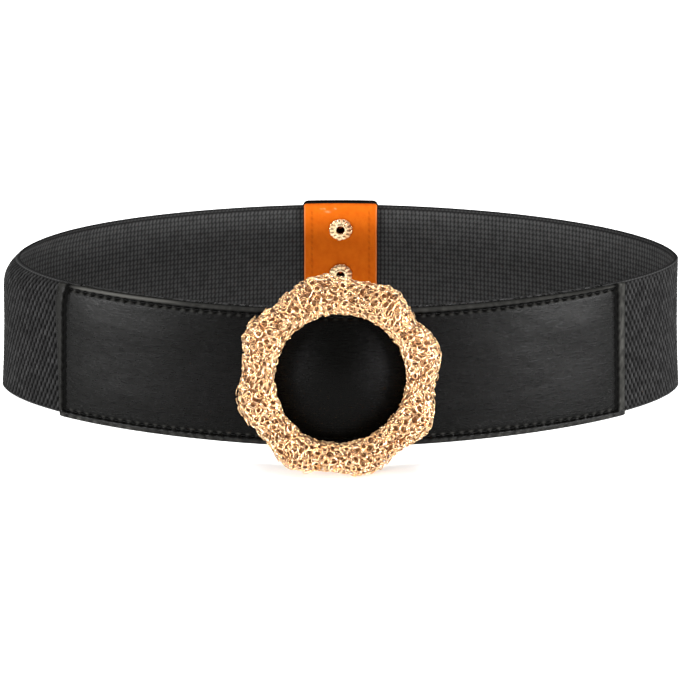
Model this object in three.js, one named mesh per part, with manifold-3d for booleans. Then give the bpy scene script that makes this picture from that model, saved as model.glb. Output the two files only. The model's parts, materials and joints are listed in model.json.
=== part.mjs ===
// An elastic stretch belt, fastened into its loop: two woven elastic halves, a leather front
// panel, a round buckle ring of looped wire with a bar behind the leather, and a snapped tab
// at the back. Millimetres and degrees, +Z up, front towards -Y. The belt stands on the bottom
// of the buckle ring and on its rear rim.
import * as THREE from "three";
import { mergeVertices } from "three/addons/utils/BufferGeometryUtils.js";
import Module from "manifold-3d";

const wasm = await Module();
wasm.setup();

// Driving dimensions
const clearance = 0.3;

const loop = {
  topHalfWidth: 150.5,
  bottomHalfWidth: 152.2,
  topFrontDepth: 76,
  frontLean: 4.7,
  topRearDepth: 83,
  rearLean: 7,
  frontExponent: 1.7,
  rearExponent: 1.84,
  leftTuck: 6.5,
  leftTuckHeight: 15,
  tuckCurl: 3,
  tuckReach: 4,
};

const elastic = {
  width: 60,
  thickness: 1.8,
  hiddenEnd: 12,
  hollow: 0.8,
  stationStep: 5,
};

// Seams are placed by their distance round the belt from the front centre
const panel = {
  rightSeamTop: 133,
  rightSeamBottom: 132.5,
  leftSeamTop: 134,
  leftSeamBottom: 130.5,
  layer: 0.9,
  topDrop: 0.5,
  bottomDrop: 1.2,
  foldRound: 0.6,
  padRise: 0.9,
  domeRise: 3.2,
  stationStep: 6,
};

const buckle = {
  outerRadius: 45,
  innerRadius: 29,
  halfDepth: 6,
  knotRise: 0.4,
  knotsAround: 26,
  dipDepth: 0.9,
  centreRise: 1.5,
  bow: 3,
  stations: 104,
  sides: 14,
};

const bar = {
  width: 8,
  thickness: 2,
  footHeight: 5,
  footSink: 4,
};

const tab = {
  width: 35,
  topRise: 1.6,
  bottomDrop: 1,
  leather: 1.2,
  lining: 0.9,
  liningInset: 0.9,
  elasticGap: 12,
  stationStep: 2.5,
};

const snap = {
  flangeDiameter: 10.8,
  flangeThickness: 0.9,
  rimRoll: 0.5,
  postDiameter: 5.4,
  holeDiameter: 3.8,
  holeDepth: 3,
  capDiameter: 12.5,
  capHeight: 1.8,
  capShoulder: 0.8,
  capCrown: 0.45,
  edgeLevel: 1 / 3,
  upperDrop: 12.6,
  spacing: 23,
  sides: 24,
};

const finishes = {
  elastic: { color: 0x323233, roughness: 0.92, metalness: 0 },
  leather: { color: 0x121212, roughness: 0.42, metalness: 0 },
  suede: { color: 0xc05c16, roughness: 0.95, metalness: 0 },
  gold: { color: 0xe3bd78, roughness: 0.28, metalness: 1 },
};

// Lobes of the buckle ring, anticlockwise from +X as seen from the front. Crest and dip are
// shares of the outer radius, bore is a share of the inner radius at the crest.
const lobes = [
  { crestAt: 17, crest: 0.975, dipAt: 39, dip: 0.905, bore: 0.98 },
  { crestAt: 60, crest: 0.995, dipAt: 78, dip: 0.945, bore: 0.975 },
  { crestAt: 102, crest: 1.01, dipAt: 131, dip: 0.935, bore: 0.99 },
  { crestAt: 151, crest: 1.005, dipAt: 176, dip: 0.93, bore: 0.975 },
  { crestAt: 198, crest: 1.015, dipAt: 219, dip: 0.945, bore: 0.99 },
  { crestAt: 240, crest: 1.015, dipAt: 264, dip: 0.92, bore: 1.04 },
  { crestAt: 287, crest: 0.98, dipAt: 307, dip: 0.92, bore: 1.0 },
  { crestAt: 330, crest: 0.985, dipAt: 352, dip: 0.895, bore: 0.99 },
];

// Height section of the leather panel, bottom to top. Level is a share of the panel's height,
// fold the share of the fold rounding taken off the front, pad the share of the padding's rise.
const panelSection = [
  { level: 0, fold: 1, pad: 0 },
  { level: 0.012, fold: 0.3, pad: 0 },
  { level: 0.035, fold: 0, pad: 0.1 },
  { level: 0.075, fold: 0.5, pad: 0 },
  { level: 0.13, fold: 0, pad: 0.5 },
  { level: 0.28, fold: 0, pad: 0.9 },
  { level: 0.5, fold: 0, pad: 1 },
  { level: 0.72, fold: 0, pad: 0.9 },
  { level: 0.87, fold: 0, pad: 0.5 },
  { level: 0.925, fold: 0.5, pad: 0 },
  { level: 0.965, fold: 0, pad: 0.1 },
  { level: 0.988, fold: 0.3, pad: 0 },
  { level: 1, fold: 1, pad: 0 },
];

// Height section of the elastic, bottom to top: its level and the share of the hollow there.
const elasticSection = [
  { level: 0, hollow: 0 },
  { level: 0.25, hollow: 0.75 },
  { level: 0.5, hollow: 1 },
  { level: 0.76, hollow: 0.7 },
  { level: 0.87, hollow: 0.4 },
  { level: 0.94, hollow: 0.2 },
  { level: 1, hollow: 0 },
];

const radians = THREE.MathUtils.degToRad;
const lerp = THREE.MathUtils.lerp;
const signedPower = (value, power) => Math.sign(value) * Math.abs(value) ** power;

// Worked out from the dimensions
const frontLeanAngle = Math.atan2(loop.frontLean, elastic.width);
const rearLeanAngle = Math.atan2(loop.rearLean, elastic.width);
const slotGap = elastic.thickness + 2 * clearance;
const panelFront = clearance + panel.layer;
const panelBack = panelFront - slotGap - 2 * panel.layer;
const panelBottom = -panel.bottomDrop;
const panelTop = elastic.width - panel.topDrop;
const ringHeight = elastic.width / 2 + buckle.centreRise;
const ringStandoff = panelFront + clearance + buckle.halfDepth + buckle.knotRise;

// The belt's outer face at loop angle `turn` (0 at +X, a quarter turn at the rear) and height z,
// moved outwards in plan by `out`. The top of the left bend curls inwards.
function facePoint(turn, z, out) {
  const level = z / elastic.width;
  const sine = Math.sin(turn);
  const atFront = sine < 0;
  const topDepth = atFront ? loop.topFrontDepth : loop.topRearDepth;
  const lean = atFront ? loop.frontLean : loop.rearLean;
  const depth = topDepth + lean * (1 - level);
  const exponent = atFront ? loop.frontExponent : loop.rearExponent;
  const shareX = signedPower(Math.cos(turn), 2 / exponent);
  const shareY = signedPower(sine, 2 / exponent);
  const curl = Math.max(0, 1 - (elastic.width - z) / loop.leftTuckHeight) ** loop.tuckCurl;
  const tuck = shareX < 0 ? loop.leftTuck * curl * shareX ** loop.tuckReach : 0;
  const halfWidth = lerp(loop.bottomHalfWidth, loop.topHalfWidth, level) - tuck;
  const normal = new THREE.Vector2(
    signedPower(shareX, exponent - 1) / halfWidth,
    signedPower(shareY, exponent - 1) / depth,
  ).normalize();
  return new THREE.Vector3(halfWidth * shareX + out * normal.x, depth * shareY + out * normal.y, z);
}

// Lengths round the loop at mid height, from the front centre towards +X
const loopSteps = 3600;
const loopLengths = [0];
for (let step = 1; step <= loopSteps; step += 1) {
  const before = facePoint(loopTurn(step - 1), elastic.width / 2, 0);
  const after = facePoint(loopTurn(step), elastic.width / 2, 0);
  loopLengths.push(loopLengths[step - 1] + before.distanceTo(after));
}
const loopLength = loopLengths[loopSteps];
const rearCentre = loopLengths[loopSteps / 2];

function loopTurn(step) {
  return radians(-90 + (360 * step) / loopSteps);
}

function turnAt(distance) {
  const wrapped = THREE.MathUtils.euclideanModulo(distance, loopLength);
  let low = 0;
  let high = loopSteps;
  while (high - low > 1) {
    const middle = Math.floor((low + high) / 2);
    if (loopLengths[middle] <= wrapped) low = middle;
    else high = middle;
  }
  const share = (wrapped - loopLengths[low]) / (loopLengths[high] - loopLengths[low]);
  return loopTurn(low + share);
}

function beltPoint(distance, z, out) {
  return facePoint(turnAt(distance), z, out);
}

// Evenly spaced distances from `start` to `end`, both kept
function stations(start, end, step) {
  const count = Math.max(2, Math.round(Math.abs(end - start) / step));
  return Array.from({ length: count + 1 }, (_, index) => lerp(start, end, index / count));
}

function closedGeometry(positions, indices) {
  const geometry = new THREE.BufferGeometry();
  geometry.setAttribute("position", new THREE.Float32BufferAttribute(positions, 3));
  geometry.setIndex(indices);
  geometry.computeVertexNormals();
  return geometry;
}

// A closed wall from level outlines of equal length, bottom to top, anticlockwise from above
function stackedWall(outlines) {
  const count = outlines[0].length;
  const positions = outlines.flat().flatMap((point) => point.toArray());
  const indices = [];
  for (let row = 0; row < outlines.length - 1; row += 1) {
    for (let index = 0; index < count; index += 1) {
      const next = (index + 1) % count;
      const low = row * count;
      const high = low + count;
      indices.push(low + index, low + next, high + next, low + index, high + next, high + index);
    }
  }
  const addCap = (row, facesUp) => {
    const flat = outlines[row].map((point) => new THREE.Vector2(point.x, point.y));
    for (const [a, b, c] of THREE.ShapeUtils.triangulateShape(flat, [])) {
      const turnsLeft = THREE.ShapeUtils.area([flat[a], flat[b], flat[c]]) > 0;
      const corners = turnsLeft === facesUp ? [a, b, c] : [a, c, b];
      indices.push(...corners.map((corner) => row * count + corner));
    }
  };
  addCap(0, false);
  addCap(outlines.length - 1, true);
  return closedGeometry(positions, indices);
}

// A plain curved strip between two faces and two heights
function strip({ start, end, step, bottom, top, inner, outer }) {
  const distances = stations(start, end, step);
  return stackedWall(
    [bottom, top].map((z) => [
      ...distances.map((distance) => beltPoint(distance, z, outer)),
      ...distances.toReversed().map((distance) => beltPoint(distance, z, inner)),
    ]),
  );
}

function toManifold(geometry) {
  const bare = geometry.clone();
  bare.deleteAttribute("normal");
  bare.deleteAttribute("uv");
  const merged = mergeVertices(bare);
  return new wasm.Manifold(
    new wasm.Mesh({
      numProp: 3,
      vertProperties: new Float32Array(merged.attributes.position.array),
      triVerts: new Uint32Array(merged.index.array),
    }),
  );
}

function fromManifold(solid) {
  const mesh = solid.getMesh();
  return closedGeometry(Array.from(mesh.vertProperties), Array.from(mesh.triVerts));
}

function namedMesh(name, geometry, finish) {
  const mesh = new THREE.Mesh(geometry, new THREE.MeshStandardMaterial(finish));
  mesh.name = name;
  return mesh;
}

// Distance of a seam at a height; side is 1 on the right and -1 on the left
function seamAt(side, z) {
  const [bottom, top] =
    side > 0 ? [panel.rightSeamBottom, panel.rightSeamTop] : [panel.leftSeamBottom, panel.leftSeamTop];
  return side * lerp(bottom, top, z / elastic.width);
}

// Half of the woven elastic from a seam to the tab, slightly hollow between its rims
function elasticGeometry(side) {
  const tabEnd = rearCentre - (side * tab.elasticGap) / 2;
  return stackedWall(
    elasticSection.map(({ level, hollow }) => {
      const z = level * elastic.width;
      const hiddenEnd = seamAt(side, z) - side * elastic.hiddenEnd;
      const [start, end] = side > 0 ? [hiddenEnd, tabEnd] : [tabEnd, loopLength + hiddenEnd];
      const distances = elasticStations.map((share) => lerp(start, end, share));
      const seamShare = (distance) => {
        const fromEnd = Math.min(Math.abs(distance - start), Math.abs(distance - end));
        return THREE.MathUtils.smoothstep(fromEnd, tab.width, 2 * tab.width);
      };
      const sink = (distance) => elastic.hollow * hollow * seamShare(distance);
      return [
        ...distances.map((distance) => beltPoint(distance, z, -sink(distance))),
        ...distances
          .toReversed()
          .map((distance) => beltPoint(distance, z, -elastic.thickness - sink(distance))),
      ];
    }),
  );
}

const elasticStations = stations(0, 1, elastic.stationStep / (rearCentre - panel.rightSeamTop));

// How far the leather bulges out through the buckle ring
function domeAt(distance, z) {
  const reach = Math.hypot(distance, z - ringHeight) / buckle.innerRadius;
  return reach < 1 ? panel.domeRise * (1 - reach ** 2) ** 2 : 0;
}

// Leather front panel, split at both ends to take the elastic
function panelGeometry() {
  const slotDepth = elastic.hiddenEnd + clearance;
  const slotFront = clearance;
  const slotBack = clearance - slotGap;
  const shares = stations(0, 1, panel.stationStep / (panel.rightSeamTop + panel.leftSeamTop));
  return stackedWall(
    panelSection.map(({ level, fold, pad }) => {
      const z = lerp(panelBottom, panelTop, level);
      const round = panel.foldRound * fold;
      const leftSeam = seamAt(-1, z);
      const rightSeam = seamAt(1, z);
      const distances = shares.map((share) => lerp(leftSeam, rightSeam, share));
      const padAt = (distance) => {
        const fromSeam = Math.min(distance - leftSeam, rightSeam - distance);
        return panel.padRise * pad * THREE.MathUtils.smoothstep(fromSeam, 0, elastic.hiddenEnd);
      };
      const frontAt = (distance) => panelFront - round + padAt(distance) + domeAt(distance, z);
      const backAt = (distance) => panelBack + round / 2 + domeAt(distance, z);
      const slot = (side) => {
        const [entry, exit] = side > 0 ? [slotFront, slotBack] : [slotBack, slotFront];
        const depths = stations(0, slotDepth, panel.stationStep);
        const pointAt = (depth, out) => beltPoint(seamAt(side, z) - side * depth, z, out);
        return [
          ...depths.map((depth) => pointAt(depth, entry)),
          ...depths.toReversed().map((depth) => pointAt(depth, exit)),
        ];
      };
      return [
        ...distances.map((distance) => beltPoint(distance, z, frontAt(distance))),
        ...slot(1),
        ...distances.toReversed().map((distance) => beltPoint(distance, z, backAt(distance))),
        ...slot(-1),
      ];
    }),
  );
}

// Outer radius, bore radius and fullness (1 on a crest, 0 in a dip) of the ring at an angle
function ringProfile(angle) {
  const marks = lobes.flatMap(({ crestAt, crest, dipAt, dip, bore }, index) => {
    const following = lobes[(index + 1) % lobes.length];
    return [
      { at: crestAt, outer: crest, bore, full: 1 },
      { at: dipAt, outer: dip, bore: (bore + following.bore) / 2, full: 0 },
    ];
  });
  const wrapped = THREE.MathUtils.euclideanModulo(angle - marks[0].at, 360) + marks[0].at;
  const afterIndex = marks.findIndex((mark) => mark.at > wrapped);
  const after = afterIndex < 0 ? { ...marks[0], at: marks[0].at + 360 } : marks[afterIndex];
  const before = afterIndex < 0 ? marks[marks.length - 1] : marks[afterIndex - 1];
  const share = THREE.MathUtils.smoothstep(wrapped, before.at, after.at);
  return {
    outer: buckle.outerRadius * lerp(before.outer, after.outer, share),
    bore: buckle.innerRadius * lerp(before.bore, after.bore, share),
    full: lerp(before.full, after.full, share),
  };
}

// Lumpy ring in its own frame: X right, Y up, Z out of the front, bowed to follow the waist
function ringGeometry() {
  const positions = [];
  const indices = [];
  for (let station = 0; station < buckle.stations; station += 1) {
    const angle = (360 * station) / buckle.stations;
    const { outer, bore, full } = ringProfile(angle);
    const middle = (outer + bore) / 2;
    const halfWidth = (outer - bore) / 2;
    const halfDepth = buckle.halfDepth * lerp(buckle.dipDepth, 1, full);
    for (let side = 0; side < buckle.sides; side += 1) {
      const turn = (2 * Math.PI * side) / buckle.sides;
      const knot = buckle.knotRise * Math.sin(buckle.knotsAround * radians(angle) + 2 * turn);
      const radius = middle + (halfWidth + knot) * Math.cos(turn);
      const x = radius * Math.cos(radians(angle));
      const y = radius * Math.sin(radians(angle));
      const bow = buckle.bow * (x / buckle.outerRadius) ** 2;
      positions.push(x, y, (halfDepth + knot) * Math.sin(turn) - bow);
      const next = (side + 1) % buckle.sides;
      const here = station * buckle.sides;
      const ahead = ((station + 1) % buckle.stations) * buckle.sides;
      indices.push(here + side, ahead + side, ahead + next, here + side, ahead + next, here + next);
    }
  }
  return closedGeometry(positions, indices);
}

// Flat bar behind the leather with a foot at each end, in the ring's frame
function barSolid() {
  const upright = (z, out) => (z - ringHeight - out * Math.sin(frontLeanAngle)) / Math.cos(frontLeanAngle);
  const back = panelBack - clearance - bar.thickness - ringStandoff;
  const lowFoot = upright(panelBottom - clearance, panelFront) - bar.footHeight;
  const highFoot = upright(panelTop + clearance, panelBack);
  const barHeight = highFoot + bar.footHeight - lowFoot;
  const strut = new THREE.BoxGeometry(bar.width, barHeight, bar.thickness);
  strut.translate(0, lowFoot + barHeight / 2, back + bar.thickness / 2);
  const footDepth = -back - buckle.halfDepth + bar.footSink;
  const feet = [lowFoot, highFoot].map((bottom) => {
    const foot = new THREE.BoxGeometry(bar.width, bar.footHeight, footDepth);
    foot.translate(0, bottom + bar.footHeight / 2, back + footDepth / 2);
    return foot;
  });
  return feet.reduce((solid, foot) => solid.add(toManifold(foot)), toManifold(strut));
}

function buckleMesh() {
  const solid = toManifold(ringGeometry()).add(barSolid());
  const mesh = namedMesh("buckle_ring", fromManifold(solid), finishes.gold);
  mesh.position.copy(beltPoint(0, ringHeight, 0));
  mesh.position.y -= ringStandoff * Math.cos(frontLeanAngle);
  mesh.position.z += ringStandoff * Math.sin(frontLeanAngle);
  mesh.rotation.x = Math.PI / 2 - frontLeanAngle;
  return mesh;
}

// Faces of the tab's layers, outwards from the elastic's outer face
const tabFaces = {
  outerLow: clearance,
  outerHigh: clearance + tab.leather,
  innerHigh: -elastic.thickness - clearance,
  innerLow: -elastic.thickness - clearance - tab.leather,
  liningHigh: -elastic.thickness - 2 * clearance - tab.leather,
  liningLow: -elastic.thickness - 2 * clearance - tab.leather - tab.lining,
};

const tabTop = elastic.width + tab.topRise;
const snapHeights = [
  tabTop - snap.upperDrop * Math.cos(rearLeanAngle),
  tabTop - (snap.upperDrop + snap.spacing) * Math.cos(rearLeanAngle),
];

// Places a piece with its Y axis along the tab's outward normal at a height
function seatOnTab(object, z) {
  object.position.copy(beltPoint(rearCentre, z, 0));
  object.rotation.x = rearLeanAngle;
}

function snapHoles() {
  const reach = snap.capDiameter;
  return snapHeights.map((z) => {
    const radius = snap.postDiameter / 2 + clearance;
    const plug = new THREE.Mesh(new THREE.CylinderGeometry(radius, radius, reach, snap.sides));
    seatOnTab(plug, z);
    plug.updateMatrix();
    return toManifold(plug.geometry.applyMatrix4(plug.matrix));
  });
}

function tabMesh(name, inner, outer, inset, finish) {
  const sheet = strip({
    start: rearCentre - tab.width / 2 + inset,
    end: rearCentre + tab.width / 2 - inset,
    step: tab.stationStep,
    bottom: -tab.bottomDrop + inset,
    top: tabTop - inset,
    inner,
    outer,
  });
  const solid = snapHoles().reduce((rest, hole) => rest.subtract(hole), toManifold(sheet));
  return namedMesh(name, fromManifold(solid), finish);
}

// Snap fastener through the tab: a rolled flange with a blind hole inside, a cap outside
function snapMesh(name, z) {
  const flangeHigh = tabFaces.liningLow - clearance;
  const flangeLow = flangeHigh - snap.flangeThickness;
  const capLow = tabFaces.outerHigh + clearance;
  const flange = snap.flangeDiameter / 2;
  const post = snap.postDiameter / 2;
  const hole = snap.holeDiameter / 2;
  const cap = snap.capDiameter / 2;
  const profile = [
    [0, flangeLow + snap.holeDepth],
    [hole, flangeLow + snap.holeDepth],
    [hole, flangeLow],
    [hole + snap.rimRoll, flangeLow - snap.rimRoll],
    [post + snap.rimRoll, flangeLow],
    [flange - snap.rimRoll, flangeLow],
    [flange, flangeHigh - snap.flangeThickness * snap.edgeLevel],
    [flange - snap.rimRoll, flangeHigh],
    [post, flangeHigh],
    [post, capLow],
    [cap - snap.rimRoll, capLow],
    [cap, capLow + snap.capHeight * snap.edgeLevel],
    [cap * snap.capShoulder, capLow + snap.capHeight * snap.capShoulder],
    [cap * snap.capCrown, capLow + snap.capHeight],
    [0, capLow + snap.capHeight],
  ].map(([radius, height]) => new THREE.Vector2(radius, height));
  const mesh = namedMesh(name, new THREE.LatheGeometry(profile, snap.sides), finishes.gold);
  seatOnTab(mesh, z);
  return mesh;
}

const steepestTilt = -20;
const tiltRounds = 40;

// Turns the belt about X until its front and rear touch the ground together, and centres it
function standOnGround(belt) {
  belt.updateMatrixWorld(true);
  const points = [];
  belt.traverse((child) => {
    if (!child.isMesh) return;
    const position = child.geometry.attributes.position;
    for (let index = 0; index < position.count; index += 1) {
      points.push(new THREE.Vector3().fromBufferAttribute(position, index).applyMatrix4(child.matrixWorld));
    }
  });
  const lowest = (angle, side) =>
    points
      .filter((point) => Math.sign(point.y) === side)
      .reduce((low, { y, z }) => Math.min(low, z * Math.cos(angle) + y * Math.sin(angle)), Infinity);
  let flat = 0;
  let steep = radians(steepestTilt);
  for (let round = 0; round < tiltRounds; round += 1) {
    const middle = (flat + steep) / 2;
    if (lowest(middle, -1) < lowest(middle, 1)) flat = middle;
    else steep = middle;
  }
  belt.rotation.x = (flat + steep) / 2;
  belt.updateMatrixWorld(true);
  const box = new THREE.Box3().setFromObject(belt, true);
  const centre = box.getCenter(new THREE.Vector3());
  belt.position.set(-centre.x, -centre.y, -box.min.z);
}

const belt = new THREE.Group();
belt.add(
  namedMesh("elastic_right", elasticGeometry(1), finishes.elastic),
  namedMesh("elastic_left", elasticGeometry(-1), finishes.elastic),
  namedMesh("front_panel", panelGeometry(), finishes.leather),
  buckleMesh(),
  tabMesh("tab_outer_leather", tabFaces.outerLow, tabFaces.outerHigh, 0, finishes.leather),
  tabMesh("tab_inner_leather", tabFaces.innerLow, tabFaces.innerHigh, 0, finishes.leather),
  tabMesh("tab_inner_lining", tabFaces.liningLow, tabFaces.liningHigh, tab.liningInset, finishes.suede),
  snapMesh("snap_upper", snapHeights[0]),
  snapMesh("snap_lower", snapHeights[1]),
);
standOnGround(belt);

const part = new THREE.Group();
part.add(belt);

export default part;
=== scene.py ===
"""An elastic stretch belt standing in its loop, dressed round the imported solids.

Shapes are worked out in millimetres in the belt's own frame, the one that its solids are
modelled in, and are then turned and shifted to where those solids stand, in metres.
Distances round the belt run from the front centre towards +X.
"""

import json
import math
from types import SimpleNamespace as Sizes

import bmesh
import bpy
import numpy as np
from mathutils import Matrix, Vector


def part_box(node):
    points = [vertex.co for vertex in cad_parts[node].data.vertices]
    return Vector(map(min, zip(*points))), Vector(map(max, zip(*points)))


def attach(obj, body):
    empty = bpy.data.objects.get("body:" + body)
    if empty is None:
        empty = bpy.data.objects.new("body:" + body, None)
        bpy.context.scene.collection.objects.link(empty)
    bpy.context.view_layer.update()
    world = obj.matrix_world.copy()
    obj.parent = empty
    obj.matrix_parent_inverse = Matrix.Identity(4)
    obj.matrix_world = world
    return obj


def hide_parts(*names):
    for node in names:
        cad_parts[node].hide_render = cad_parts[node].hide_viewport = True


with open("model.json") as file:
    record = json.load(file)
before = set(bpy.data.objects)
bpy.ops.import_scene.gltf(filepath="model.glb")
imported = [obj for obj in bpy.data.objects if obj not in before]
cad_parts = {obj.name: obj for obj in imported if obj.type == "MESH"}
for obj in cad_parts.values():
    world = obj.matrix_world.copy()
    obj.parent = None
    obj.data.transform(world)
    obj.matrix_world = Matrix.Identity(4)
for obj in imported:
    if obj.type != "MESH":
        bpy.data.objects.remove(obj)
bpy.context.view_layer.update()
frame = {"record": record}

# Sizes that the looks share with the solids
CLEARANCE = 0.3
loop = Sizes(
    top_half_width=150.5,
    bottom_half_width=152.2,
    top_front_depth=76,
    front_lean=4.7,
    top_rear_depth=83,
    rear_lean=7,
    front_exponent=1.7,
    rear_exponent=1.84,
    left_tuck=6.5,
    left_tuck_height=15,
    tuck_curl=3,
    tuck_reach=4,
)
elastic = Sizes(width=60, thickness=1.8, hidden_end=12, hollow=0.8)
panel = Sizes(
    right_seam=(132.5, 133),
    left_seam=(130.5, 134),
    layer=0.9,
    bottom=-1.2,
    top=59.5,
    pad_rise=0.9,
    dome_rise=3.2,
)
buckle = Sizes(outer_radius=45, inner_radius=29, half_depth=6, knot_rise=0.4, height=31.5, bow=3)
bar = Sizes(width=8, thickness=2, foot_height=5, foot_sink=4, edge_round=0.5)
tab = Sizes(width=35, bottom=-1, top=61.6, leather=1.2, lining=0.9, elastic_gap=12)
snap = Sizes(
    flange_radius=5.4,
    flange_thickness=0.9,
    post_radius=2.7,
    hole_radius=1.9,
    hole_depth=3,
    cap_radius=6.25,
    cap_height=1.8,
    upper_drop=12.6,
    spacing=23,
)

# Lobes of the ring: angle and size of each crest and of the dip after it, as shares of the
# outer radius, and the bore at the crest as a share of the inner radius
LOBES = [
    (17, 0.975, 39, 0.905, 0.98),
    (60, 0.995, 78, 0.945, 0.975),
    (102, 1.01, 131, 0.935, 0.99),
    (151, 1.005, 176, 0.93, 0.975),
    (198, 1.015, 219, 0.945, 0.99),
    (240, 1.015, 264, 0.92, 1.04),
    (287, 0.98, 307, 0.92, 1.0),
    (330, 0.985, 352, 0.895, 0.99),
]

# Hollow of the elastic's wall: height as a share of the width, and share of the hollow
HOLLOW = [(0, 0), (0.25, 0.75), (0.5, 1), (0.76, 0.7), (0.87, 0.4), (0.94, 0.2), (1, 0)]

# Sizes that only the looks have
weave = Sizes(
    column=1.85,
    outer_share=0.76,
    rows=24,
    column_samples=4,
    outer_samples=4,
    inner_samples=3,
    outer_rim=1.1,
    inner_rim=1.9,
    outer_depth=0.65,
    inner_depth=0.34,
    rim_dip=0.25,
    edge_width=0.6,
    edge_sink=0.55,
    wander=0.09,
    seam_lap=2,
)
hide = Sizes(
    seam_groove=128.6,
    seam_depth=0.8,
    top_round=1.8,
    top_round_at_seam=0.8,
    bottom_round=0.9,
    end_round=0.5,
    back_round=0.7,
    corner=1.8,
    fold_rise=0.3,
    bite=0.45,
    notch_width=0.53,
    notch_depth=0.95,
    swell=0.16,
    small_swell=0.05,
    crease=0.03,
    wrinkle=0.05,
    back_line=0.25,
    back_ripple=0.12,
)
stitch = Sizes(
    pitch=4.2,
    length=2.3,
    radius=0.2,
    front_lift=0.05,
    back_lift=0.1,
    top_drop=1.9,
    top_drop_middle=3.1,
    bottom_rise=3.6,
    tab_pitch=3,
    tab_inset=3.4,
    tab_lift=0.08,
    tab_radius=0.22,
)
wire = Sizes(radius=0.158, sides=4, samples=12, strand_gap=0.5, sink=0.8, lowest=-1.7, highest=1)
core = Sizes(stations=176, sides=24, rise=-1.55, lump=0.35)

# How pale the leather is drawn: its plain and hidden tone, painted shade in the ring's window,
# and painted highlights on its strips, hem, seams, gathers and top edge
tone_and_painted_light = Sizes(
    plain=0.007,
    hidden=0.03,
    window_share=0.3,
    top_strip=0.16,
    hem=0.07,
    hem_between=0.08,
    hem_far_out=0.12,
    right_seam=0.3,
    left_seam=0.08,
    scallop=0.2,
    edge=0.12,
    left_edge=0.6,
)

# Linear colours, a darker and a lighter one where there are two
tint = Sizes(
    yarn=((0.001, 0.001, 0.001), (0.052, 0.052, 0.052)),
    panel=((0.0003, 0.0003, 0.0002), (0.102, 0.1, 0.092)),
    tab=((0.0012, 0.0011, 0.001), (0.007, 0.0065, 0.006)),
    thread=((0.0015, 0.0015, 0.0015), (0.01, 0.01, 0.01)),
    suede=((0.53, 0.094, 0.004), (0.62, 0.13, 0.0065)),
    suede_nap=(0.43, 0.07, 0.003),
    suede_line=(0.17, 0.02, 0.001),
    suede_scuff=(0.85, 0.42, 0.2),
    # The ring core's dark brown is painted shade
    core=((0.04, 0.013, 0.004), (0.26, 0.1, 0.03)),
    floor=((0.95, 0.95, 0.95), (0.97, 0.97, 0.97)),
)

FRONT_LEAN = math.atan2(loop.front_lean, elastic.width)
REAR_LEAN = math.atan2(loop.rear_lean, elastic.width)
PANEL_FRONT = CLEARANCE + panel.layer
SLOT_FRONT = CLEARANCE
SLOT_BACK = -elastic.thickness - CLEARANCE
PANEL_BACK = SLOT_BACK - panel.layer
RING_STANDOFF = PANEL_FRONT + CLEARANCE + buckle.half_depth + buckle.knot_rise
RING_MIDDLE = (buckle.outer_radius + buckle.inner_radius) / 2
RING_TUBE = (buckle.outer_radius - buckle.inner_radius) / 2 - wire.sink
GOLDEN_SHARE = (math.sqrt(5) - 1) / 2


def lerp(start, end, share):
    return start + (end - start) * share


def smoothstep(value, low, high):
    share = np.clip((value - low) / (high - low), 0, 1)
    return share * share * (3 - 2 * share)


def signed_power(value, power):
    return np.sign(value) * np.abs(value) ** power


def groove_at(offset, width):
    """A soft line: 1 on it and nearly 0 at twice its width"""
    return np.exp(-((offset / width) ** 2))


def arch(share):
    """0 at both ends of a stretch and 1 in its middle"""
    return np.sin(np.pi * np.clip(share, 0, 1))


def edge_round(from_edge, radius):
    """How far a rounded edge falls back at a distance from it"""
    return radius * (1 - np.sqrt(1 - np.clip(1 - from_edge / radius, 0, 1) ** 2))


def around(count):
    """Even angles once round"""
    return np.linspace(0, 2 * np.pi, count + 1)[:-1]


def soft_noise(seed, across, along):
    """Smooth seeded noise from -1 to 1 with lumps one unit wide"""
    columns, rows = 97, 89
    grid = np.random.default_rng(seed).uniform(-1, 1, (columns, rows))
    column, row = np.floor(across).astype(int), np.floor(along).astype(int)
    share_x = smoothstep(across - column, 0, 1)
    share_y = smoothstep(along - row, 0, 1)

    def pick(step_x, step_y):
        return grid[(column + step_x) % columns, (row + step_y) % rows]

    low = lerp(pick(0, 0), pick(1, 0), share_x)
    high = lerp(pick(0, 1), pick(1, 1), share_x)
    return lerp(low, high, share_y)


def clustered(length, edge, fine, coarse):
    """Places from 0 to length, close together within the edge stretches"""
    edge_steps = round(edge / fine)
    middle_steps = round((length - 2 * edge) / coarse)
    start = np.linspace(0, edge, edge_steps + 1)[:-1]
    middle = np.linspace(edge, length - edge, middle_steps + 1)
    end = np.linspace(length - edge, length, edge_steps + 1)[1:]
    return np.concatenate([start, middle, end])


# The belt's own frame


def face_point(turn, z, out):
    """Point of the belt's outer face at a loop angle and height, moved outwards in plan"""
    turn, z, out = np.broadcast_arrays(turn, z, out)
    level = z / elastic.width
    sine = np.sin(turn)
    at_front = sine < 0
    top_depth = np.where(at_front, loop.top_front_depth, loop.top_rear_depth)
    lean = np.where(at_front, loop.front_lean, loop.rear_lean)
    exponent = np.where(at_front, loop.front_exponent, loop.rear_exponent)
    depth = top_depth + lean * (1 - level)
    share_x = signed_power(np.cos(turn), 2 / exponent)
    share_y = signed_power(sine, 2 / exponent)
    curl = np.maximum(0, 1 - (elastic.width - z) / loop.left_tuck_height) ** loop.tuck_curl
    tuck = np.where(share_x < 0, loop.left_tuck * curl * share_x**loop.tuck_reach, 0)
    half_width = lerp(loop.bottom_half_width, loop.top_half_width, level) - tuck
    normal_x = signed_power(share_x, exponent - 1) / half_width
    normal_y = signed_power(share_y, exponent - 1) / depth
    length = np.hypot(normal_x, normal_y)
    x = half_width * share_x + out * normal_x / length
    y = depth * share_y + out * normal_y / length
    return np.stack([x, y, z], axis=-1)


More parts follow.
